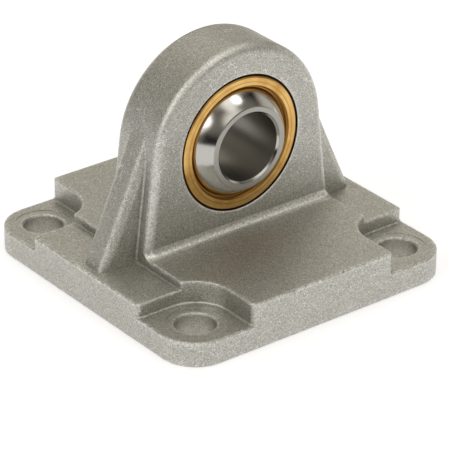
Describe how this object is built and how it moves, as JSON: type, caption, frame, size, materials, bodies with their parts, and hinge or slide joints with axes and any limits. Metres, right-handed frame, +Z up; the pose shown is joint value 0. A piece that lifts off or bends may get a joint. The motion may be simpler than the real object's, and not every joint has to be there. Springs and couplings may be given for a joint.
{
  "type": "spherical swivel mount",
  "caption": "Cast rear mount for a pneumatic cylinder: a square screw-on base with a gusseted eye that holds a spherical plain bearing for a pin.",
  "frame": {"origin": "middle of the underside", "axes": "+Z up, at right angles to the base; +Y along the bore for the pin"},
  "size_m": [0.0742, 0.0742, 0.055],
  "materials": {
    "cast_aluminium": "blasted die casting, matt with a fine grain",
    "turned_brass": "turned, satin",
    "sliding_layer": "smooth bonded sliding layer",
    "polished_steel": "hardened and mirror polished, satin at the ends"
  },
  "bodies": {
    "mount": {"housing": "cast_aluminium", "bearing_outer_ring": "turned_brass", "bearing_liner": "sliding_layer"},
    "ball": {"bearing_inner_ring": "polished_steel"}
  },
  "joints": [
    {"name": "ball_tilt", "type": "hinge", "parent": "mount", "child": "ball", "pos_m": [0, 0, 0.032], "axis": [1, 0, 0], "range_deg": [-15, 15]}
  ]
}
